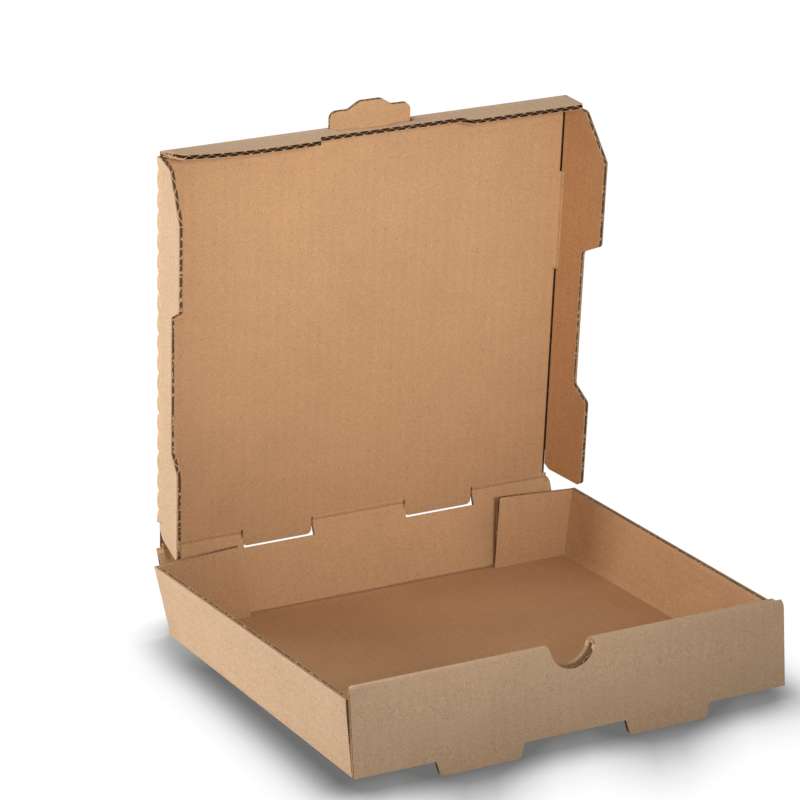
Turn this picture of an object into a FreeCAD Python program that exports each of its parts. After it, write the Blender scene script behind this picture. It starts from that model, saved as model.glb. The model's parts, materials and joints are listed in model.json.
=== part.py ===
"""A one-piece corrugated pizza box, standing open.

The box is a die-cut sheet of single-wall board folded into a tray with a hinged lid. The tray stands on
two feet under its front wall, and its side walls spring outwards. The rear wall leans back and carries the
lid, whose two side flaps and front flap stand off the panel as they do when the lid is lifted.
"""
import FreeCAD, Part
import math
import os

import Sketcher
from FreeCAD import Placement, Rotation, Vector

os.makedirs("parts", exist_ok=True)
doc = FreeCAD.newDocument("PizzaBox")
sheet = doc.addObject("Spreadsheet::Sheet", "Sizes")

# Driving dimensions, in millimetres and degrees
DRIVING = [
    ("board", 3.0, "thickness of the corrugated board"),
    ("fold_gap", 0.25, "from a fold's axis to each board edge beside it"),
    ("layer_gap", 0.3, "between two layers of board that lie together"),
    ("tray_width", 250.0, "outside, at the base"),
    ("tray_depth", 250.0, "outside, at the base"),
    ("front_height", 47.4, "height of the rolled front wall"),
    ("roll_radius", 4.0, "rounding of the front wall's rolled top"),
    ("side_height", 42.0, "height of the side walls"),
    ("side_spring_front", 1.5, "how far a side wall's top stands out at its front end"),
    ("side_spring_rear", 7.2, "the same at its rear end"),
    ("notch_radius", 13.0, "half-moon thumb notch in the front wall"),
    ("foot_start", 28.75, "from the middle of the box to a foot's inner end"),
    ("foot_width", 51.5, "width of a foot at the base"),
    ("foot_drop", 8.5, "how far a foot reaches below the base"),
    ("foot_taper", 3.0, "how much a foot narrows at each end"),
    ("foot_radius", 2.5, "rounding of a foot's lower corners"),
    ("lock_inset", 7.0, "from a foot's end to the lock tab that fills its hole"),
    ("tuck_length", 60.0, "side wall's front flap inside the rolled wall"),
    ("tuck_step", 2.0, "from a side wall's top down to that flap's"),
    ("dust_top", 43.0, "length of a rear dust flap along its top"),
    ("dust_bottom", 48.0, "length of a rear dust flap along its bottom"),
    ("dust_step", 0.1, "from a side wall's top down to its dust flap's"),
    ("dust_rise", 3.2, "how much higher a dust flap's free end stands, because its wall leans out"),
    ("rear_play", 1.5, "from the tray's side to the rear wall's end"),
    ("hinge_rise", 1.0, "from the front wall's top up to the hinge"),
    ("rear_lean", 18.0, "how far the rear wall leans back"),
    ("lid_play", 0.5, "between a closed side flap and the side wall's foot"),
    ("lid_spread", 1.0, "how much the lid widens on each side from hinge to front"),
    ("front_play", 2.2, "between the closed front flap and the rolled wall"),
    ("lid_angle", 100.0, "lid panel from the level behind the box"),
    ("tongue_start", 29.5, "from the middle to a lid tongue's inner end"),
    ("tongue_width", 42.5, "width of a lid tongue"),
    ("tongue_length", 7.5, "how far a tongue reaches past the hinge"),
    ("tongue_radius", 3.0, "rounding of a tongue's corners"),
    ("cut_gap", 0.6, "between a swinging tongue and the hole it was cut from"),
    ("tab_width", 48.0, "wavy grip tab at the lid's front fold"),
    ("tab_shoulder", 9.8, "height of the tab's shoulders"),
    ("tab_height", 14.0, "height of the tab's middle"),
    ("tab_crown", 13.0, "width of the tab's highest part"),
    ("tab_slope", 6.5, "width of each slope beside it"),
    ("tab_radius", 4.0, "rounding of the tab's outline"),
    ("front_flap_length", 26.0, "lid front flap, fold to free edge"),
    ("front_flap_taper", 3.0, "how much it narrows at each end"),
    ("front_flap_open", 9.0, "past square to the lid"),
    ("recess_left", 40.0, "from the middle to the recess's left step"),
    ("recess_right", 52.0, "from the middle to its right step"),
    ("recess_depth", 8.6, "recess in the front flap's free edge"),
    ("recess_step", 4.0, "width of each step"),
    ("flap_head", 37.0, "side flap's width near the lid's front"),
    ("flap_waist", 23.0, "its width at the waist"),
    ("flap_ear", 34.0, "its width at the rear ear"),
    ("end_play", 0.6, "between a side flap's front end and the front flap"),
    ("flap_nose", 19.0, "width left at the front by the chamfer"),
    ("flap_chamfer", 25.0, "length of that chamfer"),
    ("head_length", 75.4, "length of the wide head, chamfer included"),
    ("ear_end", 61.0, "hinge to the front of the rear ear"),
    ("flap_slope", 8.0, "length of the slopes into the waist"),
    ("ear_start", 8.2, "hinge to the ear's rear edge"),
    ("ear_relief", 12.0, "hinge to where the flap meets the fold"),
    ("ear_root", 7.0, "width of the relief beside the fold"),
    ("flap_radius", 3.0, "rounding of the side flap's corners"),
    ("flute_pitch", 6.4, "from one flute to the next"),
    ("liner", 0.4, "thickness of each facing of the board"),
    ("medium", 0.5, "thickness of the fluted layer, measured through the board"),
    ("flute_depth", 11.0, "how far the open flutes are cut into the front flap's edge"),
    ("flare_left", 6.0, "left flap, past square to the lid"),
    ("flare_right", 14.0, "right flap, past square to the lid"),
]
for row, (name, value, note) in enumerate(DRIVING, 1):
    sheet.set("A%d" % row, name)
    sheet.set("B%d" % row, str(value))
    sheet.set("C%d" % row, note)
    sheet.setAlias("B%d" % row, name)
doc.recompute()


class Size:
    """A length or angle that carries its formula in the sheet's cells beside its value."""

    def __init__(self, formula, value):
        self.formula = formula
        self.value = value

    def __add__(self, other):
        other = as_size(other)
        return Size("(%s + %s)" % (self.formula, other.formula), self.value + other.value)

    def __sub__(self, other):
        other = as_size(other)
        return Size("(%s - %s)" % (self.formula, other.formula), self.value - other.value)

    def __mul__(self, other):
        other = as_size(other)
        return Size("(%s * %s)" % (self.formula, other.formula), self.value * other.value)

    def __truediv__(self, other):
        other = as_size(other)
        return Size("(%s / %s)" % (self.formula, other.formula), self.value / other.value)

    def __neg__(self):
        return self * -1


def as_size(number):
    return number if isinstance(number, Size) else Size("(%r)" % number, number)


def cell(name):
    return Size("Sizes." + name, sheet.get(name))


board = cell("board")
fold_gap = cell("fold_gap")
layer_gap = cell("layer_gap")
half_width = cell("tray_width") / 2
half_depth = cell("tray_depth") / 2
side_top = cell("side_height")
rolled_depth = board * 3 + layer_gap * 2
rear_half = half_width - cell("rear_play")
rear_height = cell("front_height") + cell("hinge_rise")
lid_rear = half_width - board - cell("lid_play")
lid_front = lid_rear + cell("lid_spread")
lid_length = cell("tray_depth") - rolled_depth - cell("front_play")
flap_front = lid_length - board - cell("end_play")
tilt = math.degrees(math.atan2(cell("foot_drop").value, (cell("tray_depth") - board).value))


# Sketches, pads and pockets

def new_body(name, role_label=None):
    body = doc.addObject("PartDesign::Body", name)
    body.Label = role_label or name
    return body


def plane_of(body, role):
    return next(f for f in body.Origin.OriginFeatures if f.Role == role)


def pin(sketch, geometry, end, axis, size):
    """Hold one end of a sketch line at a signed distance from the sketch's origin."""
    if abs(size.value) < 1e-9:
        sketch.addConstraint(Sketcher.Constraint("PointOnObject", geometry, end, -2 if axis == "X" else -1))
        return
    kind = "Distance" + axis
    if size.value > 0:
        index = sketch.addConstraint(Sketcher.Constraint(kind, -1, 1, geometry, end, size.value))
        sketch.setExpression("Constraints[%d]" % index, size.formula)
    else:
        index = sketch.addConstraint(Sketcher.Constraint(kind, geometry, end, -1, 1, -size.value))
        sketch.setExpression("Constraints[%d]" % index, (-size).formula)


def outline(body, name, points, role="XY_Plane", offset=None):
    """A closed outline of straight lines, each corner bound to the sheet."""
    sketch = body.newObject("Sketcher::SketchObject", name)
    sketch.AttachmentSupport = [(plane_of(body, role), "")]
    sketch.MapMode = "FlatFace"
    if offset is not None:
        sketch.setExpression("AttachmentOffset.Base.z", offset.formula)
    corners = [(as_size(x), as_size(y)) for x, y in points]
    count = len(corners)
    for i, (x, y) in enumerate(corners):
        nx, ny = corners[(i + 1) % count]
        sketch.addGeometry(Part.LineSegment(Vector(x.value, y.value, 0), Vector(nx.value, ny.value, 0)), False)
    for i in range(count):
        sketch.addConstraint(Sketcher.Constraint("Coincident", i, 2, (i + 1) % count, 1))
    for i, (x, y) in enumerate(corners):
        pin(sketch, i, 1, "X", x)
        pin(sketch, i, 1, "Y", y)
    return sketch


def pad(body, name, sketch, length, reverse=False):
    feature = body.newObject("PartDesign::Pad", name)
    feature.Profile = sketch
    feature.setExpression("Length", length.formula)
    feature.Reversed = reverse
    doc.recompute()
    return feature


def pocket(body, name, sketch):
    """Cut right through the body, both ways from the sketch."""
    before = body.Shape.Volume
    feature = body.newObject("PartDesign::Pocket", name)
    feature.Profile = sketch
    feature.Type = "ThroughAll"
    feature.Midplane = True
    doc.recompute()
    if body.Shape.Volume > before - 1e-6:
        raise RuntimeError(name + " cuts nothing")
    return feature


def edges_where(body, test):
    return ["Edge%d" % (i + 1) for i, edge in enumerate(body.Shape.Edges) if test(edge)]


def dress(body, kind, name, edges, size):
    """Round or chamfer the chosen edges of the body as it stands."""
    if not edges:
        raise RuntimeError(name + " finds no edge")
    tip = body.Tip
    feature = body.newObject("PartDesign::" + kind, name)
    feature.Base = (tip, edges)
    feature.setExpression("Radius" if kind == "Fillet" else "Size", size.formula)
    doc.recompute()
    return feature


def near(value, size):
    return abs(value - as_size(size).value) < 1e-4


def upright_edge_at(corners, direction=Vector(0, 0, 1)):
    """Test for the edges through the sheet's thickness at the given corners."""
    places = [(as_size(x).value, as_size(y).value) for x, y in corners]

    def test(edge):
        if len(edge.Vertexes) != 2:
            return False
        along = edge.Vertexes[1].Point - edge.Vertexes[0].Point
        if along.cross(direction).Length > 1e-6:
            return False
        point = edge.Vertexes[0].Point
        flat = (point.x, point.y) if abs(direction.z) > 0.5 else (point.x, point.z)
        return any(abs(flat[0] - x) < 1e-4 and abs(flat[1] - y) < 1e-4 for x, y in places)
    return test


def inner_edge_along(first, second):
    """Test for the edges of the sheet's inner face that lie on the line between two points."""
    a = Vector(as_size(first[0]).value, as_size(first[1]).value, board.value)
    b = Vector(as_size(second[0]).value, as_size(second[1]).value, board.value)
    line = (b - a).normalize()

    def test(edge):
        return len(edge.Vertexes) == 2 and all(
            (v.Point - a).cross(line).Length < 1e-4 for v in edge.Vertexes)
    return test


def mirrored(points):
    return [(-as_size(x), y) for x, y in reversed(points)]


# Placements: every piece is drawn flat, outer face down, and folded up from the piece that carries it

def fold(angle):
    return Placement(Vector(), Rotation(Vector(1, 0, 0), angle))


stand = Placement(Vector(), Rotation(Vector(1, 0, 0), -tilt))
rear_fold = Placement(Vector(0, half_depth.value, 0), Rotation())
rear_place = rear_fold * fold(90 - cell("rear_lean").value)
hinge_line = rear_place * Placement(Vector(0, rear_height.value, 0), Rotation())
lid_place = hinge_line * fold(cell("lid_angle").value - 90 + cell("rear_lean").value)
front_place = (lid_place * Placement(Vector(0, lid_length.value, 0), Rotation())
               * fold(90 - cell("front_flap_open").value))


def side_place(side, flare):
    """The lid's side fold, turned a little because the lid widens towards its front."""
    skew = math.degrees(math.atan2(cell("lid_spread").value, lid_length.value))
    crease = Placement(Vector(side * lid_rear.value, 0, 0),
                       Rotation(Vector(0, 0, 1), -side * skew))
    return lid_place * crease * Placement(Vector(), Rotation(Vector(0, 1, 0), -side * (90 - flare.value)))


# Tray: base with the holes that its feet and lock tabs leave

foot_end = cell("foot_start") + cell("foot_width")
lock_depth = board * 3 + layer_gap * 3


def base_panel():
    body = new_body("BasePanel")
    base = outline(body, "BaseOutline", [
        (-half_width, -half_depth), (half_width, -half_depth),
        (half_width, half_depth - fold_gap), (-half_width, half_depth - fold_gap)])
    pad(body, "BasePad", base, board)
    hole = [(cell("foot_start"), -half_depth + board), (foot_end, -half_depth + board),
            (foot_end, -half_depth + lock_depth), (cell("foot_start"), -half_depth + lock_depth)]
    pocket(body, "RightFootHole", outline(body, "RightFootCut", hole))
    pocket(body, "LeftFootHole", outline(body, "LeftFootCut", mirrored(hole)))
    rear = inner_edge_along((-half_width, half_depth - fold_gap), (half_width, half_depth - fold_gap))
    dress(body, "Chamfer", "RearFold", edges_where(body, rear), board - layer_gap / 2)
    return body


def front_wall():
    """Outer face, rolled top and inner face are one strip of board bent over the side walls' front flaps."""
    body = new_body("FrontWall")
    top = cell("front_height")
    depth = rolled_depth
    block = outline(body, "WallOutline", [
        (-half_width, 0), (half_width, 0), (half_width, top), (-half_width, top)], "XZ_Plane")
    pad(body, "WallPad", block, depth, True)
    inside = edges_where(body, lambda e: len(e.Vertexes) == 2 and all(near(v.Z, top) for v in e.Vertexes)
                         and abs(e.Vertexes[0].X - e.Vertexes[1].X) > 1)
    dress(body, "Fillet", "RolledTop", inside, cell("roll_radius"))
    slot = outline(body, "SlotOutline", [
        (board, -board), (board * 2 + layer_gap * 2, -board),
        (board * 2 + layer_gap * 2, top - board), (board, top - board)], "YZ_Plane")
    pocket(body, "Slot", slot)
    seat = outline(body, "InnerPanelSeat", [
        (board, -board), (depth + board, -board), (depth + board, board), (board, board)], "YZ_Plane")
    pocket(body, "InnerPanelFoot", seat)
    end_room = outline(body, "InnerPanelEnds", [
        (half_width - board - layer_gap, board), (half_width + board, board),
        (half_width + board, depth + board), (half_width - board - layer_gap, depth + board)])
    pocket(body, "RightEndRoom", end_room)
    other = outline(body, "InnerPanelOtherEnd", [
        (-half_width - board, board), (-half_width + board + layer_gap, board),
        (-half_width + board + layer_gap, depth + board), (-half_width - board, depth + board)])
    pocket(body, "LeftEndRoom", other)
    return body


def thumb_notch(body):
    sketch = body.newObject("Sketcher::SketchObject", "NotchCircle")
    sketch.AttachmentSupport = [(plane_of(body, "XZ_Plane"), "")]
    sketch.MapMode = "FlatFace"
    top, radius = cell("front_height"), cell("notch_radius")
    circle = sketch.addGeometry(Part.Circle(Vector(0, top.value, 0), Vector(0, 0, 1), radius.value), False)
    sketch.addConstraint(Sketcher.Constraint("PointOnObject", circle, 3, -2))
    index = sketch.addConstraint(Sketcher.Constraint("DistanceY", -1, 1, circle, 3, top.value))
    sketch.setExpression("Constraints[%d]" % index, top.formula)
    index = sketch.addConstraint(Sketcher.Constraint("Radius", circle, radius.value))
    sketch.setExpression("Constraints[%d]" % index, radius.formula)
    pocket(body, "ThumbNotch", sketch)


def foot(name, points):
    """A foot is a tongue of the base that stays in the plane of the front wall."""
    body = new_body(name)
    pad(body, name + "Pad", outline(body, name + "Outline", points, "XZ_Plane"), board, True)
    low = [p for p in points if as_size(p[1]).value < 0]
    corners = edges_where(body, upright_edge_at(low, Vector(0, 1, 0)))
    dress(body, "Fillet", name + "Corners", corners, cell("foot_radius"))
    return body


def foot_points():
    return [(cell("foot_start"), board), (cell("foot_start") + cell("foot_taper"), -cell("foot_drop")),
            (foot_end - cell("foot_taper"), -cell("foot_drop")), (foot_end, board)]


def panel_strip(name, points, thickness, start):
    """A flat strip that stands across the box, its near face at the given distance from the front."""
    body = new_body(name)
    sketch = outline(body, name + "Outline", points, "XZ_Plane", -start)
    pad(body, name + "Pad", sketch, thickness, True)
    return body


def lean_at(spring, height):
    return spring * height / side_top


def tuck_points():
    spring, top, seat = cell("side_spring_front"), side_top - cell("tuck_step"), board / 2
    return [(half_width - cell("tuck_length"), seat), (half_width - seat + lean_at(spring, seat), seat),
            (half_width - seat + lean_at(spring, top), top), (half_width - cell("tuck_length"), top)]


def dust_points():
    spring, top, seat = cell("side_spring_rear"), side_top - cell("dust_step"), board / 2
    return [(half_width - cell("dust_bottom"), seat), (half_width - seat + lean_at(spring, seat), seat),
            (half_width - seat + lean_at(spring, top), top),
            (half_width - cell("dust_top"), top + cell("dust_rise"))]


def side_section(side, spring):
    top = side_top
    points = [(half_width - board, 0), (half_width, 0), (half_width + spring, top),
              (half_width - board + spring, top)]
    return points if side > 0 else mirrored(points)


def side_wall(name, side):
    """Drawn as a loft, because the wall springs out more at its free rear end than at its locked front."""
    body = new_body(name)
    front = outline(body, name + "Front", side_section(side, cell("side_spring_front")), "XZ_Plane",
                    half_depth - board - layer_gap)
    rear = outline(body, name + "Rear", side_section(side, cell("side_spring_rear")), "XZ_Plane",
                   -(half_depth - board - layer_gap))
    loft = body.newObject("PartDesign::AdditiveLoft", name + "Loft")
    loft.Profile = front
    loft.Sections = [rear]
    loft.Ruled = True
    doc.recompute()
    return body


def lock_points():
    inset, top = cell("lock_inset"), board * 2
    return [(cell("foot_start") + inset, layer_gap), (foot_end - inset, layer_gap),
            (foot_end - inset, top), (cell("foot_start") + inset, top)]


def tray():
    wall = front_wall()
    thumb_notch(wall)
    wall.setExpression("Placement.Base.y", (-half_depth).formula)
    pieces = [base_panel(), wall]
    inner_face = half_depth - board * 2 - layer_gap * 2
    for name, side in (("Right", 1), ("Left", -1)):
        turn = (lambda p: p) if side > 0 else mirrored
        pieces.append(foot(name + "Foot", turn(foot_points())))
        pieces[-1].setExpression("Placement.Base.y", (-half_depth).formula)
        pieces.append(side_wall(name + "Wall", side))
        pieces.append(panel_strip(name + "Tuck", turn(tuck_points()), board, -half_depth + board + layer_gap))
        pieces.append(panel_strip(name + "Dust", turn(dust_points()), board,
                                  half_depth - board * 2 - layer_gap))
        pieces.append(panel_strip(name + "Lock", turn(lock_points()), board, -inner_face))
    joined = doc.addObject("Part::MultiFuse", "Tray")
    joined.Shapes = pieces
    joined.Refine = True
    joined.Label = "tray"
    doc.recompute()
    return joined


# Rear wall, with the two holes that the lid's tongues are cut from

def rear_wall():
    body = new_body("RearWall", "rear_wall")
    half, top = rear_half, rear_height - fold_gap
    sheet_outline = outline(body, "RearOutline", [(-half, fold_gap), (half, fold_gap), (half, top), (-half, top)])
    pad(body, "RearPad", sheet_outline, board)
    low = inner_edge_along((-half, fold_gap), (half, fold_gap))
    dress(body, "Chamfer", "BaseFold", edges_where(body, low), board - layer_gap / 2)
    high = inner_edge_along((-half, top), (half, top))
    dress(body, "Chamfer", "LidFold", edges_where(body, high), board - layer_gap / 2)
    start, end = cell("tongue_start") - cell("cut_gap"), cell("tongue_start") + cell("tongue_width") + cell("cut_gap")
    depth = cell("tongue_length") + cell("cut_gap") * 2
    hole = [(start, top + board), (start, top - depth), (end, top - depth), (end, top + board)]
    pocket(body, "RightTongueHole", outline(body, "RightTongueCut", hole))
    pocket(body, "LeftTongueHole", outline(body, "LeftTongueCut", mirrored(hole)))
    return body


# Lid panel, with its two tongues and the wavy grip tab

def tab_outline(root, grow=0):
    """The tab's outline from its left foot to its right foot, on a fold at the given height."""
    half, shoulder = cell("tab_width") / 2 + grow, root + cell("tab_shoulder") + grow
    crown, crest = cell("tab_crown") / 2 + grow, root + cell("tab_height") + grow
    slope = crown + cell("tab_slope")
    return [(-half, root), (-half, shoulder), (-slope, shoulder), (-crown, crest),
            (crown, crest), (slope, shoulder), (half, shoulder), (half, root)]


def lid_panel():
    body = new_body("LidPanel", "lid_panel")
    rear, front = lid_rear - fold_gap, lid_front - fold_gap
    near_end, far_end = fold_gap, lid_length - fold_gap
    start, end, tip = cell("tongue_start"), cell("tongue_start") + cell("tongue_width"), -cell("tongue_length")
    right_tongue = [(start, near_end), (start, tip), (end, tip), (end, near_end)]
    left_tongue = [(-end, near_end), (-end, tip), (-start, tip), (-start, near_end)]
    tab = list(reversed(tab_outline(far_end)))
    points = ([(-rear, near_end)] + left_tongue + right_tongue + [(rear, near_end), (front, far_end)]
              + tab + [(-front, far_end)])
    pad(body, "LidPad", outline(body, "LidOutline", points), board)
    dress(body, "Fillet", "TongueCorners",
          edges_where(body, upright_edge_at([(start, tip), (end, tip), (-start, tip), (-end, tip)])),
          cell("tongue_radius"))
    dress(body, "Fillet", "TabCorners", edges_where(body, upright_edge_at(tab[1:-1])), cell("tab_radius"))
    folds = []
    for a, b in (((-rear, near_end), (rear, near_end)), ((-front, far_end), (front, far_end)),
                 ((rear, near_end), (front, far_end)), ((-rear, near_end), (-front, far_end))):
        folds += edges_where(body, inner_edge_along(a, b))
    dress(body, "Chamfer", "Folds", folds, board - layer_gap / 2)
    return body


# Lid front flap, with the tab's hole and the recess in its free edge

def front_flap():
    body = new_body("LidFrontFlap", "lid_front_flap")
    root, length = fold_gap, cell("front_flap_length")
    wide = lid_front - fold_gap
    narrow = wide - cell("front_flap_taper")
    left, right, step = cell("recess_left"), cell("recess_right"), cell("recess_step")
    floor = length - cell("recess_depth")
    corners = [(narrow, length), (right, length), (right - step, floor), (-left + step, floor),
               (-left, length), (-narrow, length)]
    pad(body, "FlapPad", outline(body, "FlapOutline", [(-wide, root), (wide, root)] + corners), board)
    dress(body, "Fillet", "RecessCorners", edges_where(body, upright_edge_at(corners)), cell("flap_radius") / 2)
    hole = tab_outline(root, layer_gap)
    hole[0] = (hole[0][0], -board)
    hole[-1] = (hole[-1][0], -board)
    pocket(body, "TabHole", outline(body, "TabHoleOutline", hole))
    dress(body, "Fillet", "HoleCorners", edges_where(body, upright_edge_at(hole[1:-1])), cell("tab_radius"))
    fold_line = inner_edge_along((-wide, root), (wide, root))
    dress(body, "Chamfer", "FlapFold", edges_where(body, fold_line), board - layer_gap / 2)
    open_flutes(body, wide, length)
    return body


def open_flutes(body, reach, edge):
    """Real channels on both sides of the fluted layer, where the board is cut across its flutes."""
    pitch, liner, medium = cell("flute_pitch"), cell("liner"), cell("medium")
    half_base = pitch / 2 - medium
    count = int(reach.value * 2 / pitch.value)
    for name, foot_z, tip_z, first in (("Lower", liner, board - liner - medium, pitch / 2),
                                       ("Upper", board - liner, liner + medium, pitch)):
        start = -reach + first
        sketch = outline(body, name + "Flute", [(start - half_base, foot_z), (start + half_base, foot_z),
                                                (start, tip_z)], "XZ_Plane", cell("flute_depth") - edge)
        cut = body.newObject("PartDesign::Pocket", name + "FlutePocket")
        cut.Profile = sketch
        cut.setExpression("Length", (cell("flute_depth") + board).formula)
        row = body.newObject("PartDesign::LinearPattern", name + "FluteRow")
        row.Originals = [cut]
        row.Direction = (sketch, ["H_Axis"])
        row.Occurrences = count
        row.setExpression("Length", (pitch * (count - 1)).formula)
        body.Tip = row
        doc.recompute()


# Lid side flaps, alike but mirrored

def side_flap_points():
    ear, waist, head = cell("flap_ear"), cell("flap_waist"), cell("flap_head")
    slope, ear_end, head_end = cell("flap_slope"), cell("ear_end"), flap_front - cell("head_length")
    return [(fold_gap, cell("ear_relief")), (cell("ear_root"), cell("ear_start")), (ear, cell("ear_start")),
            (ear, ear_end), (waist, ear_end + slope), (waist, head_end - slope), (head, head_end),
            (head, flap_front - cell("flap_chamfer")), (cell("flap_nose"), flap_front),
            (fold_gap, flap_front)]


def side_flap(name, label, side):
    body = new_body(name, label)
    points = side_flap_points()
    rounded = points[2:9]
    root = [points[1]]
    if side < 0:
        points, rounded, root = mirrored(points), mirrored(rounded), mirrored(root)
    pad(body, name + "Pad", outline(body, name + "Outline", points), board)
    dress(body, "Fillet", name + "Corners", edges_where(body, upright_edge_at(rounded)), cell("flap_radius"))
    dress(body, "Fillet", name + "EarRoot", edges_where(body, upright_edge_at(root)), cell("flap_radius"))
    crease = side * fold_gap.value
    fold_line = inner_edge_along((crease, 0), (crease, 1))
    dress(body, "Chamfer", name + "Fold", edges_where(body, fold_line), board - layer_gap / 2)
    return body


parts = {
    "tray": (tray(), Placement()),
    "rear_wall": (rear_wall(), rear_place),
    "lid_panel": (lid_panel(), lid_place),
    "lid_front_flap": (front_flap(), front_place),
    "lid_left_flap": (side_flap("LidLeftFlap", "lid_left_flap", -1), side_place(-1, cell("flare_left"))),
    "lid_right_flap": (side_flap("LidRightFlap", "lid_right_flap", 1), side_place(1, cell("flare_right"))),
}

# Stand the box on its feet and rear edge, with the origin under the middle of all that it covers
for piece, place in parts.values():
    piece.Placement = stand * place
doc.recompute()
reach = FreeCAD.BoundBox()
for piece, place in parts.values():
    reach.add(piece.Shape.optimalBoundingBox(True))
origin_shift = Placement(Vector(0, -reach.Center.y, -reach.ZMin), Rotation())
for piece, place in parts.values():
    piece.Placement = origin_shift * stand * place
doc.recompute()

# Check every object before anything is written
for item in doc.Objects:
    if "Invalid" in item.State or "Error" in item.State:
        raise RuntimeError("%s failed: %s" % (item.Name, item.State))
for name, (piece, place) in parts.items():
    if piece.Shape.isNull() or not piece.Shape.isValid():
        raise RuntimeError(name + " has no valid shape")
    if len(piece.Shape.Solids) != 1:
        raise RuntimeError("%s has %d solids" % (name, len(piece.Shape.Solids)))

for name, (piece, place) in parts.items():
    piece.Shape.exportStep(os.path.join("parts", name + ".step"))
    print("%-16s %9.0f mm3  %s" % (name, piece.Shape.Volume, piece.Shape.BoundBox))

# The fold axes, for whoever joins the pieces
frame = origin_shift * stand
for name, place in (("rear fold", rear_fold), ("lid hinge", hinge_line), ("front fold", front_place),
                    ("left fold", side_place(-1, cell("flare_left"))),
                    ("right fold", side_place(1, cell("flare_right")))):
    spot = frame * place
    axis = spot.Rotation.multVec(Vector(1, 0, 0) if "front" in name or "rear" in name or "hinge" in name
                                 else Vector(0, 1, 0))
    print("%-12s %s axis %s" % (name, spot.Base, axis))
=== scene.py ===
"""Looks for a one-piece corrugated pizza box that stands open on a white floor.

Each board panel takes its shape from its solid and gets softened edges, kraft faces that differ inside and
outside, and a cut edge that shows the fluted layer. Strips of facing paper carry each fold round its corner.
"""
import json
import math

import bmesh
import bpy
from mathutils import Matrix, Vector


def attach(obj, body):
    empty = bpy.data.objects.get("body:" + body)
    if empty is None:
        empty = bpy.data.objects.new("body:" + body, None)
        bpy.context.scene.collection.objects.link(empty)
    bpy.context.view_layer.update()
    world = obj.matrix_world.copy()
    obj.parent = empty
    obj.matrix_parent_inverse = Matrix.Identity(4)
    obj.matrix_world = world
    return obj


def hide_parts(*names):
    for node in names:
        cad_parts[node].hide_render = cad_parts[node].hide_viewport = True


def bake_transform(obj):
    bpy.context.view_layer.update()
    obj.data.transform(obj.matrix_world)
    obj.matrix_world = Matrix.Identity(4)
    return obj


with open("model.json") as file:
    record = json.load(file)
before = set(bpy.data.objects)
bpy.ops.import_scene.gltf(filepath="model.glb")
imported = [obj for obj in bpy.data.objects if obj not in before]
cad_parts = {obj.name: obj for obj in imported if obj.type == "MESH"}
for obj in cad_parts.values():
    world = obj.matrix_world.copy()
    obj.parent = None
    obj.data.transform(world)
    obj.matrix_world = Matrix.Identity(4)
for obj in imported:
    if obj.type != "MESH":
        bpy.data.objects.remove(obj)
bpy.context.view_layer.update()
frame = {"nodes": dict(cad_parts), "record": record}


# Tray
# The tray is the base with its walls, cut and folded from one sheet of corrugated board and held by tabs in
# slots. Its faces are kraft paper. The front wall shows the outer paper on both sides, as it is rolled over.
MM = 0.001
X = Vector((1, 0, 0))
BOARD = 3.0 * MM
PITCH = 6.4 * MM
FOOT_DROP, FOOT_TO_FOLD = 8.5, 247.0
OUTSIDE = (0.56, 0.375, 0.235)
INSIDE = (0.50, 0.285, 0.145)
EDGE = (0.42, 0.25, 0.135)
HOLLOW_SHADE = (0.085, 0.045, 0.022)
WASHBOARD, FIBRE_RELIEF, CLOUD_RELIEF = 0.022 * MM, 0.05 * MM, 0.08 * MM
MERGE, SHORT_EDGE, SOFT_EDGE = 1e-6, 0.6 * MM, 0.22 * MM
FLAT_ANGLE, SMOOTH_ANGLE, SHARP_ANGLE = math.radians(0.6), math.radians(35), math.radians(40)
LARGE_FACE = 800 * MM * MM
joints = {joint["name"]: joint for joint in frame["record"]["behaviour"]["joints"]}


def pivot(name):
    """The place of a fold at rest."""
    return Vector(joints[name]["pos_m"])


def panel_frame(origin, x_axis, y_axis):
    """A panel's own frame: x across the flutes, y along them and z from its outer to its inner face."""
    matrix = Matrix((x_axis, y_axis, x_axis.cross(y_axis).normalized())).transposed().to_4x4()
    matrix.translation = origin
    return matrix


def new_material(name):
    made = bpy.data.materials.new(name)
    made.use_nodes = True
    made.node_tree.nodes.clear()
    return made, made.node_tree


def feed(tree, socket, value):
    """Sets a socket to a number or a colour, or links it to another socket."""
    if isinstance(value, (int, float)):
        socket.default_value = value
    elif isinstance(value, tuple):
        socket.default_value = (*value, 1)
    else:
        tree.links.new(value, socket)


def math_node(tree, operation, *values):
    node = tree.nodes.new("ShaderNodeMath")
    node.operation = operation
    for socket, value in zip(node.inputs, values):
        feed(tree, socket, value)
    return node.outputs[0]


def noise_node(tree, place, scale, detail=3.0, roughness=0.55):
    node = tree.nodes.new("ShaderNodeTexNoise")
    for name, value in (("Vector", place), ("Scale", scale), ("Detail", detail), ("Roughness", roughness)):
        feed(tree, node.inputs[name], value)
    return node.outputs["Fac"]


def ramp_node(tree, value, stops):
    """A colour ramp whose stops are (place, colour) or (place, grey)."""
    node = tree.nodes.new("ShaderNodeValToRGB")
    while len(node.color_ramp.elements) < len(stops):
        node.color_ramp.elements.new(0.5)
    for element, (place, color) in zip(node.color_ramp.elements, stops):
        element.position = place
        element.color = (*color, 1) if isinstance(color, tuple) else (color, color, color, 1)
    tree.links.new(value, node.inputs["Fac"])
    return node.outputs["Color"]


def mix_node(tree, blend, share, first, second):
    node = tree.nodes.new("ShaderNodeMix")
    node.data_type = "RGBA"
    node.blend_type = blend
    for name, value in (("Factor", share), ("A", first), ("B", second)):
        feed(tree, node.inputs[name], value)
    return node.outputs["Result"]


def output(tree, shader):
    tree.links.new(shader, tree.nodes.new("ShaderNodeOutputMaterial").inputs[0])


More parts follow.
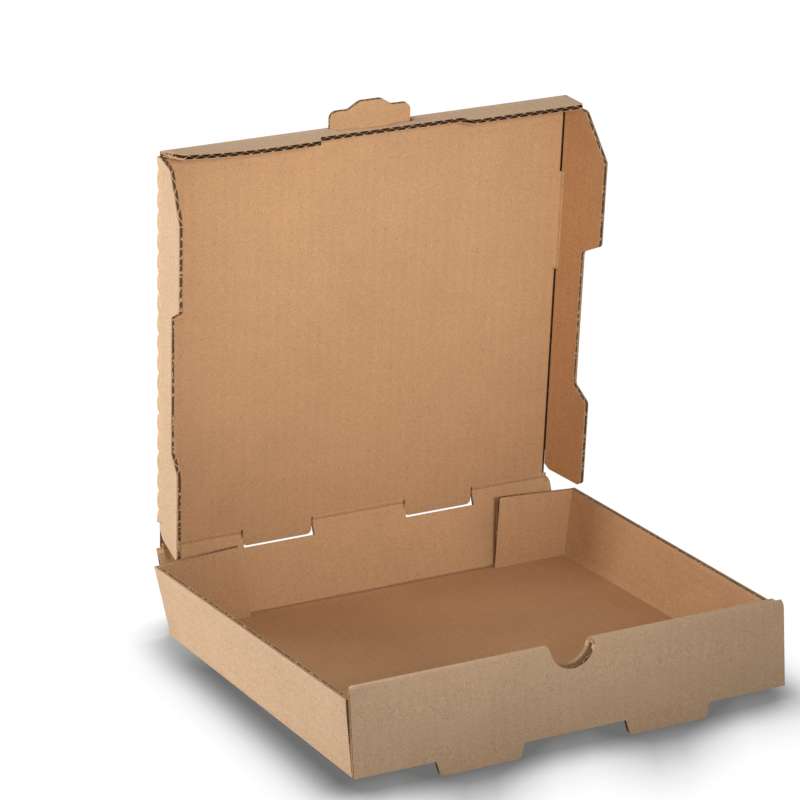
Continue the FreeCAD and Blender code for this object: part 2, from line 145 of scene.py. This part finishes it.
def paper(tree, color, roughness, gloss, height=None, relief=1.0, strength=1.0):
    """A dull surface, with a relief of its own where a height is given."""
    shader = tree.nodes.new("ShaderNodeBsdfPrincipled")
    for name, value in (("Base Color", color), ("Roughness", roughness), ("Specular IOR Level", gloss)):
        feed(tree, shader.inputs[name], value)
    if height:
        bump = tree.nodes.new("ShaderNodeBump")
        for name, value in (("Distance", relief), ("Strength", strength), ("Height", height)):
            feed(tree, bump.inputs[name], value)
        tree.links.new(bump.outputs["Normal"], shader.inputs["Normal"])
    output(tree, shader.outputs[0])


def shade(color, factor):
    return tuple(channel * factor for channel in color)


def kraft(name, color, across):
    """Facing paper: drifting brown, fibres, specks and the faint washboard that the flutes press into it, as
    a relief and as faint bands of painted light and shade.
    """
    made, tree = new_material(name)
    place = tree.nodes.new("ShaderNodeTexCoord").outputs["Object"]
    drawn = tree.nodes.new("ShaderNodeMapping")
    drawn.inputs["Scale"].default_value = (1.0, 0.5, 0.5)
    tree.links.new(place, drawn.inputs["Vector"])
    broad = noise_node(tree, place, scale=9, detail=2.0)
    cloudy = noise_node(tree, place, scale=55, detail=4.0, roughness=0.6)
    fibre = noise_node(tree, drawn.outputs["Vector"], scale=2000, detail=4.0, roughness=0.7)
    specks = noise_node(tree, place, scale=900, detail=2.0, roughness=0.5)
    along = tree.nodes.new("ShaderNodeVectorMath")
    along.operation = "DOT_PRODUCT"
    along.inputs[1].default_value = across
    tree.links.new(place, along.inputs[0])
    wave = math_node(tree, "SINE", math_node(tree, "MULTIPLY", along.outputs["Value"], 2 * math.pi / PITCH))
    sheet = ramp_node(tree, broad, [(0.3, shade(color, 0.955)), (0.5, color), (0.72, shade(color, 1.035))])
    clouds = ramp_node(tree, cloudy, [(0.3, (0.965, 0.965, 0.96)), (0.7, (1.02, 1.02, 1.015))])
    grain = ramp_node(tree, fibre, [(0.3, (0.66, 0.63, 0.60)), (0.5, 1.0), (0.7, (1.24, 1.23, 1.21))])
    dots = ramp_node(tree, specks, [(0.66, 1.0), (0.74, (0.72, 0.68, 0.62))])
    # Painted light and shade: faint light and dark bands in step with the washboard ridges.
    washboard_shading = ramp_node(tree, math_node(tree, "MULTIPLY_ADD", wave, 0.5, 0.5), [(0.0, 0.985), (1.0, 1.01)])
    for layer, share in ((clouds, 1.0), (grain, 0.8), (dots, 0.8), (washboard_shading, 1.0)):
        sheet = mix_node(tree, "MULTIPLY", share, sheet, layer)
    height = math_node(tree, "MULTIPLY", wave, WASHBOARD)
    for layer, depth in ((fibre, FIBRE_RELIEF), (cloudy, CLOUD_RELIEF)):
        height = math_node(tree, "MULTIPLY_ADD", layer, depth, height)
    paper(tree, sheet, roughness=0.82, gloss=0.22, height=height, strength=0.9)
    return made


def cut_edge(name, torn):
    """Cut board, placed by the section coordinates: facings and flutes are light and the hollows are dark
    with painted shade.

    Torn is the noise level above which fluff from the fluted layer fills a hollow."""
    swing, flute_half, facing_from, wobble = 1.05 * MM, 0.42 * MM, 0.95 * MM, 0.5 * MM
    made, tree = new_material(name)
    coords = tree.nodes.new("ShaderNodeUVMap")
    coords.uv_map = "section"
    split = tree.nodes.new("ShaderNodeSeparateXYZ")
    tree.links.new(coords.outputs["UV"], split.inputs[0])
    place = tree.nodes.new("ShaderNodeTexCoord").outputs["Object"]
    fuzz = noise_node(tree, place, scale=1300)
    depth = math_node(tree, "ADD", split.outputs["Y"],
                      math_node(tree, "MULTIPLY_ADD", fuzz, wobble, -wobble / 2))
    phase = math_node(tree, "MULTIPLY", split.outputs["X"], 2 * math.pi / PITCH)
    flute = math_node(tree, "MULTIPLY_ADD", math_node(tree, "SINE", phase), swing, BOARD / 2)
    from_flute = math_node(tree, "ABSOLUTE", math_node(tree, "SUBTRACT", depth, flute))
    from_middle = math_node(tree, "ABSOLUTE", math_node(tree, "SUBTRACT", depth, BOARD / 2))
    board = math_node(tree, "MAXIMUM", math_node(tree, "LESS_THAN", from_flute, flute_half),
                      math_node(tree, "GREATER_THAN", from_middle, facing_from))
    fluff = math_node(tree, "GREATER_THAN", noise_node(tree, place, scale=420, detail=2.0), torn)
    solid = math_node(tree, "MAXIMUM", board, fluff)
    tone = ramp_node(tree, fuzz, [(0.3, shade(EDGE, 0.75)), (0.7, shade(EDGE, 1.2))])
    paper(tree, mix_node(tree, "MIX", solid, HOLLOW_SHADE, tone), roughness=0.9, gloss=0.15,
          height=math_node(tree, "MULTIPLY_ADD", fuzz, 0.5, solid), relief=0.6 * MM, strength=0.8)
    return made


def softened_copy(node, name):
    """A copy of a node's mesh without needless edges, and with its sharp edges softened."""
    mesh = frame["nodes"][node].data.copy()
    mesh.name = name
    mesh.materials.clear()
    bm = bmesh.new()
    bm.from_mesh(mesh)
    bmesh.ops.remove_doubles(bm, verts=bm.verts, dist=MERGE)
    bmesh.ops.dissolve_limit(bm, angle_limit=FLAT_ANGLE, verts=bm.verts, edges=bm.edges)
    sharp = [edge for edge in bm.edges if len(edge.link_faces) == 2
             and edge.calc_face_angle(0) > SHARP_ANGLE and edge.calc_length() > SHORT_EDGE]
    bmesh.ops.bevel(bm, geom=sharp, offset=SOFT_EDGE, offset_type="OFFSET", segments=1, profile=0.5,
                    affect="EDGES", clamp_overlap=True, material=-1)
    return mesh, bm


def finish_board(mesh, bm, name, node, materials):
    """Large faces stay flat, because smooth shading would bend the light on them."""
    bmesh.ops.recalc_face_normals(bm, faces=bm.faces)
    bm.to_mesh(mesh)
    bm.free()
    for made in materials:
        mesh.materials.append(made)
    mesh.set_sharp_from_angle(angle=SMOOTH_ANGLE)
    for polygon in mesh.polygons:
        polygon.use_smooth = polygon.area < LARGE_FACE
    piece = bpy.data.objects.new(name, mesh)
    bpy.context.scene.collection.objects.link(piece)
    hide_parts(node)
    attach(piece, node)


# In the box's own frame, in millimetres: y runs from the front wall at -250 to the rear fold at 0
HALF_WIDTH, DEPTH, WALL_TOP = 125, 250, 42
WALL_FRONT, WALL_REAR = -246.7, -3.3
LEAN_FRONT, LEAN_REAR = 1.5, 7.2
SIDE_FROM, FRONT_FROM, ROLL_FROM, DUST_FROM = 120, -247, -239, -10
ROLL_OUTER, ROLL_INNER = -249, -241
RAGGED_FROM, RAGGED_END = 30, -4
CLOSE = 0.5
TRAY_OUT, TRAY_IN, WALL_OUT, WALL_IN, TRAY_CUT, TRAY_TORN = range(6)


def tray_face(spot, normal):
    """The material slot of a face, from its middle and normal."""
    beside = abs(spot.x) > SIDE_FROM and spot.y > FRONT_FROM
    if beside and abs(normal.x) > 0.8 and -CLOSE < spot.z < WALL_TOP + CLOSE:
        return WALL_OUT if normal.x * spot.x > 0 else WALL_IN
    if normal.z < -0.6 and abs(spot.z) < CLOSE:
        return TRAY_OUT
    if normal.z > 0.8 and abs(spot.z - BOARD / MM) < CLOSE:
        return TRAY_IN
    if spot.y < ROLL_FROM:
        outer = normal.y < -0.5 and spot.y < ROLL_OUTER
        rolled = spot.z > WALL_TOP and (normal.z > 0.2 or abs(normal.y) > 0.5)
        if outer or rolled or normal.y > 0.6 and spot.y > ROLL_INNER:
            return TRAY_OUT
    if spot.y > DUST_FROM and abs(normal.y) > 0.7:
        return TRAY_IN if normal.y < 0 else TRAY_OUT
    if beside and normal.z > 0.8 and spot.z > RAGGED_FROM and spot.y < RAGGED_END:
        return TRAY_TORN
    return TRAY_CUT


def tray_section(spot):
    """Where a point of a cut edge lies across the flutes and through the board, in metres."""
    dust_half, side_near, above_base = 121, 118, 5
    if spot.y > DUST_FROM and abs(spot.x) < dust_half:
        return spot.x * MM, (WALL_REAR - spot.y) * MM
    if abs(spot.x) > side_near and spot.z > above_base and spot.y > FRONT_FROM:
        share = (spot.y - WALL_FRONT) / (WALL_REAR - WALL_FRONT)
        lean = LEAN_FRONT + (LEAN_REAR - LEAN_FRONT) * share
        return spot.z * MM, (HALF_WIDTH + lean * spot.z / WALL_TOP - abs(spot.x)) * MM
    return spot.x * MM, (spot.y + DEPTH) * MM


tilt = math.atan2(FOOT_DROP, FOOT_TO_FOLD)
box_frame = panel_frame(pivot("rear_wall_fold"), X, Vector((0, math.cos(tilt), -math.sin(tilt))))
outer_x = kraft("kraft_outside", OUTSIDE, (1, 0, 0))
inner_x = kraft("kraft_inside", INSIDE, (1, 0, 0))
outer_z = kraft("kraft_outside_walls", OUTSIDE, (0, 0, 1))
inner_z = kraft("kraft_inside_walls", INSIDE, (0, 0, 1))
edge_material = cut_edge("cut_edge", torn=0.66)
ragged_material = cut_edge("cut_edge_along_the_flutes", torn=0.545)
mesh, bm = softened_copy("tray", "tray_board")
section = bm.loops.layers.uv.new("section")
to_box = box_frame.inverted()
for face in bm.faces:
    face.material_index = tray_face(to_box @ face.calc_center_median() / MM, to_box.to_3x3() @ face.normal)
    for loop in face.loops:
        loop[section].uv = tray_section(to_box @ loop.vert.co / MM)
finish_board(mesh, bm, "tray_board", "tray", (outer_x, inner_x, outer_z, inner_z, edge_material,
                                              ragged_material))


# Rear wall
# The rear wall is the strip of the same sheet between the base and the lid, and is folded against both.
# Where its folds are mitred, the crushed board has the colour of its inside.
LINER = 0.35 * MM
OUTER_FACE, INNER_FACE, CUT, SHADED_CREASE, SHADED_HOLLOW, TORN = range(6)


def plain(name, color):
    made, tree = new_material(name)
    paper(tree, color, roughness=0.95, gloss=0.1)
    return made


def board_face(spot, normal, crease, flute_end):
    """The material slot of a face, from its middle and normal in the panel's own frame."""
    flat = abs(normal.z) > 0.6
    between = LINER < spot.z < BOARD - LINER
    at_end = flute_end is not None and abs(normal.y) > 0.9 and abs(spot.y - flute_end) < 1 * MM
    # Faces inside the open flutes take the hollow colour, which is painted shade.
    if between and (at_end or flat and flute_end is not None):
        return SHADED_HOLLOW
    # Faces between the facings at a fold take the crease slot, painted shade unless the panel gives another.
    if flat and between:
        return crease
    if flat:
        return OUTER_FACE if normal.z < 0 else INNER_FACE
    return TORN if abs(normal.x) > 0.97 else CUT


def board_panel(node, name, matrix, outside, inside, crease=SHADED_CREASE, flute_end=None, bend=None):
    """A flat panel. Crease is the slot of faces between the facings at a fold, flute_end is how far up the
    panel its open flutes end, and bend is a function that curls the finished board."""
    mesh, bm = softened_copy(node, name)
    section = bm.loops.layers.uv.new("section")
    to_panel = matrix.inverted()
    for face in bm.faces:
        face.material_index = board_face(to_panel @ face.calc_center_median(),
                                         to_panel.to_3x3() @ face.normal, crease, flute_end)
        for loop in face.loops:
            spot = to_panel @ loop.vert.co
            loop[section].uv = (spot.x, spot.z)
    if bend:
        bend(bm, matrix)
    finish_board(mesh, bm, name, node, (outside, inside, edge_material, crease_shade_material, hollow_shade_material,
                                        ragged_material))


# Painted shade: the crease colour is a dark brown for the deep, crushed valley of a fold.
crease_shade_material = plain("crease", (0.11, 0.066, 0.036))
# Painted shade: the hollow colour is near black for the open flutes, where the light dies in the channels.
hollow_shade_material = plain("flute_hollow_painted_shade", (0.045, 0.026, 0.014))
rear_dir = (pivot("lid_hinge") - pivot("rear_wall_fold")).normalized()
rear_frame = panel_frame(pivot("rear_wall_fold"), X, rear_dir)
board_panel("rear_wall", "rear_wall_board", rear_frame, outer_x, inner_x, crease=INNER_FACE)


# Lid
# The lid panel is the next panel of the sheet, folded to the rear wall. Its two tongues at the hinge and the
# wavy grip tab at its front fold are cut from the panels beyond those folds and stay in its plane.
lid_dir = (pivot("front_flap_fold") - pivot("lid_hinge")).normalized()
lid_frame = panel_frame(pivot("lid_hinge"), X, lid_dir)
board_panel("lid_panel", "lid_board", lid_frame, outer_x, inner_x)


# Front flap
# The flap at the lid's front stands off the panel and turns its cut edge with the open flutes to the viewer.
# Its left end has sprung up a little more than the rest.
FRONT_FOLD = 81
FLAP_DEPTH = 26 * MM
FLUTE_END = 15 * MM
CURL, CURL_FROM, CURL_LENGTH = 2.8 * MM, 62 * MM, 60 * MM
FIRST_CUT, CUT_STEP, CUTS = -122 * MM, 6 * MM, 12


def curl_front_flap(bm, matrix):
    """Cuts the flap's left half into strips, so that it can bend, and curls it outwards."""
    for step in range(CUTS):
        bmesh.ops.bisect_plane(bm, geom=bm.verts[:] + bm.edges[:] + bm.faces[:], dist=MERGE,
                               plane_co=(FIRST_CUT + CUT_STEP * step, 0, 0), plane_no=(1, 0, 0))
    to_panel = matrix.inverted()
    for vert in bm.verts:
        spot = to_panel @ vert.co
        share = max(0, -spot.x - CURL_FROM) / CURL_LENGTH
        spot.z -= CURL * share ** 2 * max(0, spot.y) / FLAP_DEPTH
        vert.co = matrix @ spot


front_dir = Matrix.Rotation(math.radians(FRONT_FOLD), 3, X) @ lid_dir
front_frame = panel_frame(pivot("front_flap_fold"), X, front_dir)
board_panel("lid_front_flap", "front_flap_board", front_frame, outer_x, inner_x, flute_end=FLUTE_END,
            bend=curl_front_flap)


# Side flaps
# The flaps at the lid's sides are folded along perforated lines and flare outwards, the right one more. Their
# insides are painted a deeper brown than the lid's: painted shade with the warm cast of bounced light.
LEFT_FLARE, RIGHT_FLARE = 6, 14
# Painted shade: the flaps' inside colour is the lid's inside colour made darker and warmer.
INSIDE_FLAPS_SHADED = (0.49, 0.2451, 0.10875)
lid_normal = lid_frame.to_3x3() @ Vector((0, 0, 1))


def side_frame(fold, side, flare):
    """The flap's own frame. Side is -1 on the left and 1 on the right, and flare is in degrees."""
    along = Vector(joints[fold]["axis"]) * (-side)
    across = along.cross(lid_normal).normalized()
    turn = Matrix.Rotation(-side * math.radians(90 - flare), 3, along)
    return panel_frame(pivot(fold), turn @ across, along)


outer_flap = kraft("kraft_outside_flaps", OUTSIDE, tuple(lid_normal))
inner_flap_shaded = kraft("kraft_inside_flaps_painted_shade", INSIDE_FLAPS_SHADED, tuple(lid_normal))
left_frame = side_frame("left_flap_fold", -1, LEFT_FLARE)
right_frame = side_frame("right_flap_fold", 1, RIGHT_FLARE)
board_panel("lid_left_flap", "left_flap_board", left_frame, outer_flap, inner_flap_shaded)
board_panel("lid_right_flap", "right_flap_board", right_frame, outer_flap, inner_flap_shaded)


# Folds
# At each fold the outer facing runs on round the corner, and on the inside the crushed board forms a soft
# valley. Both are thin strips of paper that bend between the two panels they join.
PAPER = 0.12 * MM
STEP, MIDDLE = 1.6 * MM, 2.4 * MM
SHEET_HALF = 121.2 * MM
TONGUE_NEAR, TONGUE_FAR = 28.8 * MM, 72.8 * MM
TAB_HALF = 24.6 * MM
SIDE_FOLD = (16.5 * MM, 235 * MM)
STRETCHED_CREASE = (134 * MM, 194 * MM)
BUMP_PITCH, BUMP_HEIGHT, BUMP_REACH = 12 * MM, 1.4 * MM, 2.5 * MM

# Each profile lists distances from the fold and heights above the outer face, in millimetres
OUTER = [(0.0, -0.02), (0.4, -0.10), (1.2, -0.14), (2.6, -0.12), (4.2, -0.05), (4.8, 0.02)]
INNER = [(0.0, 2.30), (0.5, 2.45), (1.0, 2.72), (1.6, 2.96), (2.3, 3.06), (3.2, 3.05), (3.9, 2.97)]
CORNER = [(2.7, 3.12), (3.4, 3.10), (4.3, 3.04), (5.0, 2.97)]


def across_placer(matrix, fold_y=0, direction=1):
    """Places a point on a panel by its place along a fold that runs along x, its distance and its height."""
    return lambda along, distance, height: matrix @ Vector((along, fold_y + direction * distance, height))


def side_placer(matrix, direction):
    """The same for a fold that runs along y."""
    return lambda along, distance, height: matrix @ Vector((direction * distance, along, height))


def perforation(along, distance):
    """How far the paper bulges between the cuts of a perforated fold."""
    bulge = abs(math.sin(math.pi * along / BUMP_PITCH)) ** 0.5
    return BUMP_HEIGHT * bulge * max(0, 1 - distance / BUMP_REACH)


def strip(name, placers, ends, profile, made, ripple=None):
    """A ribbon along a fold between two bodies, with the same profile on both panels."""
    start, end = ends
    count = max(2, int((end - start) / STEP))
    across = [(placers[0], *point) for point in reversed(profile)]
    across += [(placers[1], *point) for point in profile]
    bm = bmesh.new()
    bmesh.ops.create_grid(bm, x_segments=len(across) - 1, y_segments=count, size=1)
    for vert in bm.verts:
        along = start + (end - start) * round((vert.co.y + 1) / 2 * count) / count
        place, distance, height = across[round((vert.co.x + 1) / 2 * (len(across) - 1))]
        lift = ripple(along, distance * MM) if ripple else 0
        vert.co = place(along, distance * MM, height * MM - lift)
    bm.normal_update()
    bmesh.ops.recalc_face_normals(bm, faces=bm.faces)
    bmesh.ops.solidify(bm, geom=bm.faces[:], thickness=PAPER)
    bmesh.ops.recalc_face_normals(bm, faces=bm.faces)
    mesh = bpy.data.meshes.new(name)
    bm.to_mesh(mesh)
    bm.free()
    mesh.materials.append(made)
    for polygon in mesh.polygons:
        polygon.use_smooth = True
    piece = bpy.data.objects.new(name, mesh)
    bpy.context.scene.collection.objects.link(piece)
    middle_a, middle_b = (place((start + end) / 2, MIDDLE, 0) for place in placers)
    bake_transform(piece)


rear_height = (pivot("lid_hinge") - pivot("rear_wall_fold")).length
lid_length = (pivot("front_flap_fold") - pivot("lid_hinge")).length
hinge = (across_placer(rear_frame, rear_height, -1), across_placer(lid_frame))
for label, ends in (("left", (-SHEET_HALF, -TONGUE_FAR)), ("middle", (-TONGUE_NEAR, TONGUE_NEAR)),
                    ("right", (TONGUE_FAR, SHEET_HALF))):
    strip("hinge_outer_" + label, hinge, ends, OUTER, outer_x)
    strip("hinge_inner_" + label, hinge, ends, INNER, inner_x)
strip("rear_fold_outer", (across_placer(box_frame, 0, -1), across_placer(rear_frame)),
      (-SHEET_HALF, SHEET_HALF), OUTER, outer_x)
front_fold = (across_placer(lid_frame, lid_length, -1), across_placer(front_frame))
for label, ends in (("left", (-SHEET_HALF, -TAB_HALF)), ("right", (TAB_HALF, SHEET_HALF))):
    strip("front_outer_" + label, front_fold, ends, OUTER, outer_x)
for side, label, matrix, flare in ((-1, "left", left_frame, LEFT_FLARE),
                                   (1, "right", right_frame, RIGHT_FLARE)):
    unfold = Matrix.Rotation(side * math.radians(90 - flare), 3, matrix.to_3x3() @ Vector((0, 1, 0)))
    lid_side = (unfold @ matrix.to_3x3()).to_4x4()
    lid_side.translation = matrix.translation
    side_fold = (side_placer(lid_side, -side), side_placer(matrix, side))
    strip(label + "_fold_outer", side_fold, SIDE_FOLD, OUTER, outer_flap, perforation)
    if label == "right":
        strip("right_fold_inner", side_fold, STRETCHED_CREASE, CORNER, inner_x)


# Floor
# A white floor under the box. The camera sees it drawn: dark where the box is close, and with a soft shadow
# round the footprint that reaches further in front of the feet. To every other ray it is a dull white.
FLOOR_HALF, FLOOR_Z = 6.0, -0.2 * MM
FOOTPRINT_X, FOOTPRINT_Y, FOOTPRINT_MIDDLE = 0.125, 0.085, -0.03
FEET_REACH, FEET_SHIFT, VIEW_SLANT = 0.031, 0.0597, 0.459
AHEAD_SHARE, WIDE_SCALE, FEET_SCALE = 0.53, 10, 8
CONTACT_REACH = 32 * MM
NEAR_STOPS = [(0.5, (0.46, 0.455, 0.45)), (0.66, 0.62), (0.8, 0.84), (0.95, 1.0)]
WIDE_STOPS = [(0.0, 0.34), (0.09, 0.54), (0.16, 0.72), (0.24, 0.86), (0.33, 0.96), (0.46, 1.03)]
FEET_STOPS = [(0.08, 0.0), (0.36, 1.0), (0.50, 1.0), (0.80, 0.0)]


def shadow_distance(tree):
    """How far a point is from the footprint, shorter ahead of it, and shorter still below the feet."""
    place = tree.nodes.new("ShaderNodeSeparateXYZ")
    tree.links.new(tree.nodes.new("ShaderNodeTexCoord").outputs["Object"], place.inputs[0])
    x, y = place.outputs["X"], place.outputs["Y"]
    beside = math_node(tree, "SUBTRACT", math_node(tree, "ABSOLUTE", x), FOOTPRINT_X)
    beside = math_node(tree, "MAXIMUM", beside, 0)
    below = math_node(tree, "SUBTRACT", math_node(tree, "MULTIPLY_ADD", y, -VIEW_SLANT, x), FEET_SHIFT)
    below = math_node(tree, "MULTIPLY", math_node(tree, "ABSOLUTE", below), FEET_SCALE)
    reach = math_node(tree, "MULTIPLY_ADD", ramp_node(tree, below, FEET_STOPS), FEET_REACH, FOOTPRINT_Y)
    ahead = math_node(tree, "ABSOLUTE", math_node(tree, "SUBTRACT", y, FOOTPRINT_MIDDLE))
    ahead = math_node(tree, "MAXIMUM", math_node(tree, "SUBTRACT", ahead, reach), 0)
    ahead = math_node(tree, "MULTIPLY", ahead, AHEAD_SHARE)
    squares = math_node(tree, "MULTIPLY_ADD", beside, beside, math_node(tree, "MULTIPLY", ahead, ahead))
    return math_node(tree, "SQRT", squares)


def for_camera(tree, hidden, shown):
    """Shows one shader to the camera, while the other one meets every other ray."""
    chooser = tree.nodes.new("ShaderNodeMixShader")
    tree.links.new(tree.nodes.new("ShaderNodeLightPath").outputs["Is Camera Ray"], chooser.inputs[0])
    tree.links.new(hidden, chooser.inputs[1])
    tree.links.new(shown, chooser.inputs[2])
    return chooser.outputs[0]


made, tree = new_material("floor")
dull = tree.nodes.new("ShaderNodeBsdfDiffuse")
dull.inputs["Color"].default_value = (0.9, 0.9, 0.9, 1)
contact = tree.nodes.new("ShaderNodeAmbientOcclusion")
contact.samples = 16
contact.inputs["Distance"].default_value = CONTACT_REACH
near = ramp_node(tree, contact.outputs["AO"], NEAR_STOPS)
wide = ramp_node(tree, math_node(tree, "MULTIPLY", shadow_distance(tree), WIDE_SCALE), WIDE_STOPS)
seen = tree.nodes.new("ShaderNodeEmission")
tree.links.new(mix_node(tree, "MULTIPLY", 1.0, near, wide), seen.inputs["Color"])
output(tree, for_camera(tree, dull.outputs[0], seen.outputs[0]))

bm = bmesh.new()
bmesh.ops.create_grid(bm, x_segments=1, y_segments=1, size=FLOOR_HALF)
bmesh.ops.translate(bm, verts=bm.verts, vec=(0, 0, FLOOR_Z))
floor_mesh = bpy.data.meshes.new("floor")
bm.to_mesh(floor_mesh)
bm.free()
floor_mesh.materials.append(made)
floor = bpy.data.objects.new("floor", floor_mesh)
bpy.context.scene.collection.objects.link(floor)


# Light
# White surroundings that the camera sees at full strength. A low lamp on the left lights the side walls, a
# soft spot in front lights the inside of the lid, and a pale blue lamp behind and above lights the top edges.
WORLD_LIGHT = 0.46
world = bpy.data.worlds.new("surroundings")
world.use_nodes = True
tree = world.node_tree
dome = tree.nodes["Background"]
white = tree.nodes.new("ShaderNodeBackground")
for node, strength in ((dome, WORLD_LIGHT), (white, 1.0)):
    node.inputs["Color"].default_value = (1, 1, 1, 1)
    node.inputs["Strength"].default_value = strength
tree.links.new(for_camera(tree, dome.outputs[0], white.outputs[0]), tree.nodes["World Output"].inputs[0])
bpy.context.scene.world = world


def lamp(name, kind, place, target, power, color=(1, 1, 1)):
    light = bpy.data.lights.new(name, kind)
    light.energy = power
    light.color = color
    holder = bpy.data.objects.new(name, light)
    holder.location = place
    holder.rotation_euler = (Vector(target) - Vector(place)).to_track_quat("-Z", "Y").to_euler()
    bpy.context.scene.collection.objects.link(holder)
    return light


left = lamp("left", "AREA", place=(-1.2, 0.22, 0.35), target=(-0.12, 0, 0.1), power=6.7)
left.size = 0.2
lid = lamp("lid", "SPOT", place=(-0.35, -1.25, 0.62), target=(0.0, 0.11, 0.24), power=72.0)
lid.spot_size = math.radians(26)
lid.spot_blend = 1.0
lid.shadow_soft_size = 0.12
top = lamp("top", "AREA", place=(-0.7, 0.85, 1.2), target=(0, 0.1, 0.28), power=7.5, color=(0.9, 0.95, 1.0))
top.size = 1.0


# Camera
# A long lens from the front left, a little above the box. Its place was fitted from the front left corner of
# the tray in millimetres, and its angles and focal length are in degrees and pixels.
YAW, PITCH_DOWN, ROLL, FOCAL = 24.66, 16.20, -2.52, 3576.0
FROM_CORNER = Vector((-665.3, -1523.5, 679.1))
PICTURE_WIDTH, SENSOR = 800, 36
yaw, down, roll = math.radians(YAW), math.radians(PITCH_DOWN), math.radians(ROLL)
forward = Vector((math.sin(yaw) * math.cos(down), math.cos(yaw) * math.cos(down), -math.sin(down)))
right = Vector((math.cos(yaw), -math.sin(yaw), 0))
up = right.cross(forward)
turned_right = math.cos(roll) * right + math.sin(roll) * up
turned_up = -math.sin(roll) * right + math.cos(roll) * up
camera_matrix = Matrix((turned_right, turned_up, -forward)).transposed().to_4x4()
camera_matrix.translation = (FROM_CORNER - Vector((HALF_WIDTH, DEPTH, 0))) * MM
camera = bpy.data.objects.new("camera", bpy.data.cameras.new("camera"))
camera.data.lens = SENSOR * FOCAL / PICTURE_WIDTH
camera.data.sensor_width = SENSOR
camera.data.clip_end = 50
camera.matrix_world = box_frame @ camera_matrix
bpy.context.scene.collection.objects.link(camera)
bpy.context.scene.camera = camera
bpy.context.scene.view_settings.view_transform = "Standard"
